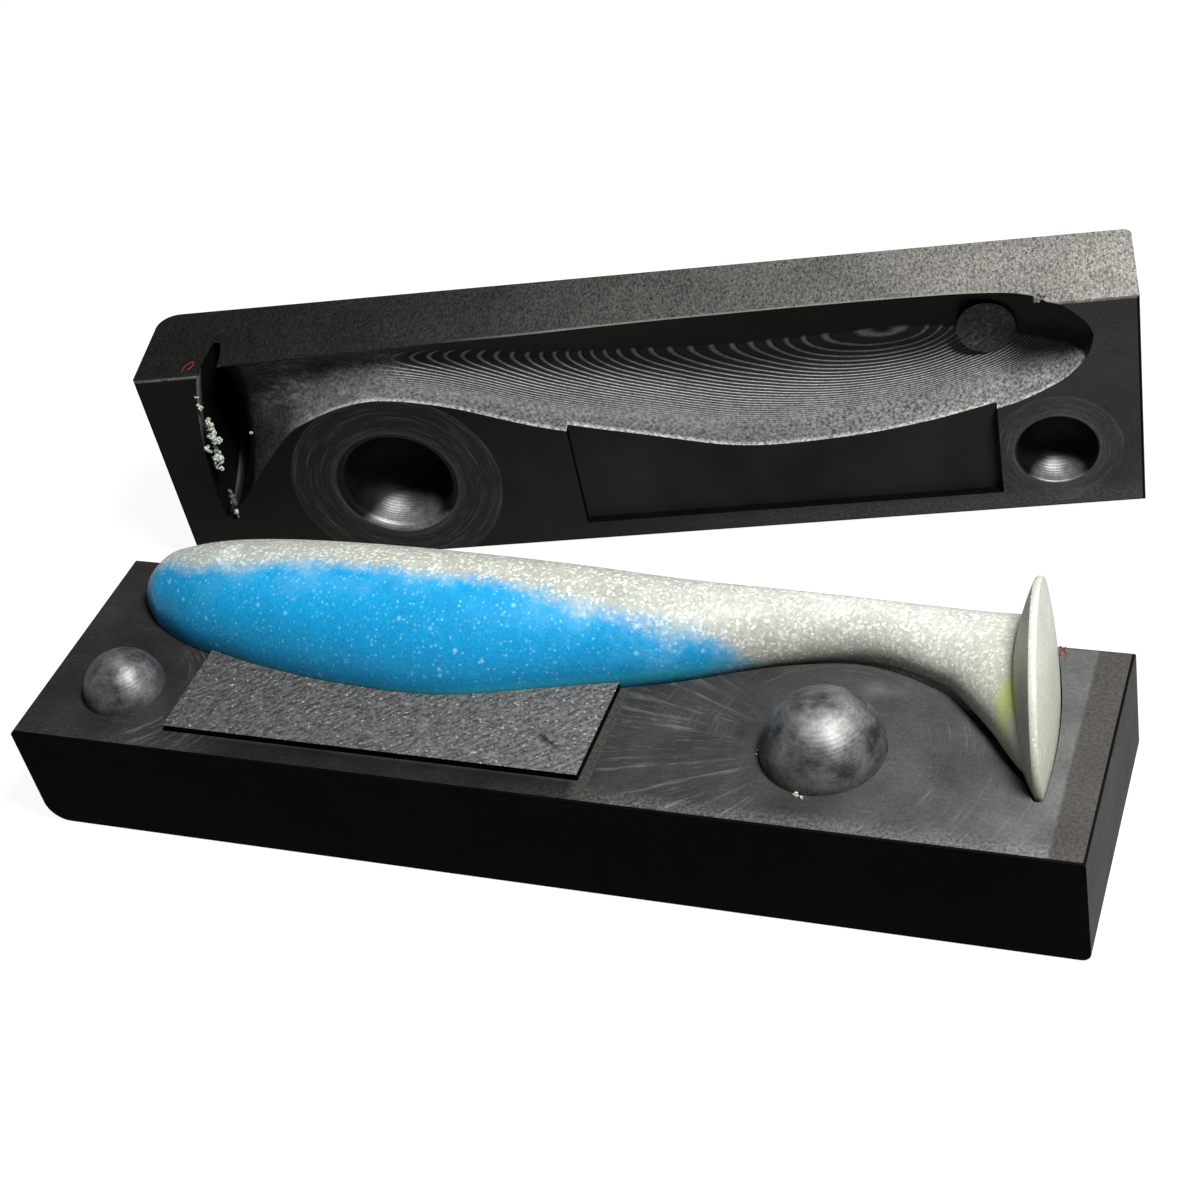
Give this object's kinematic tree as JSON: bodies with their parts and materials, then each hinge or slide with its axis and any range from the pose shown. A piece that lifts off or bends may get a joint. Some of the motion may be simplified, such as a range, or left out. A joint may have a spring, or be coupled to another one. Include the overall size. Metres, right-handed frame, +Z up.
{
  "type": "fishing lure mould",
  "caption": "Open-pour mould in two printed halves for a soft paddle-tail fishing lure, with locating domes, sockets and a key pad, one half lying flat with a cast lure in it.",
  "frame": {"origin": "centre of the underside of the lower half", "axes": "+X from the lure's head to its tail, +Y from its belly to its back, towards the upper half, +Z up"},
  "size_m": [0.1472, 0.0999, 0.035],
  "materials": {
    "mould_plastic": "black printed plastic, layer lines, sanded top face",
    "lure_plastic": "soft clear plastic with blue belly, silver back and glitter"
  },
  "bodies": {
    "root": {"lower_mould_half": "mould_plastic", "upper_mould_half": "mould_plastic", "cast_lure": "lure_plastic"}
  },
  "joints": []
}
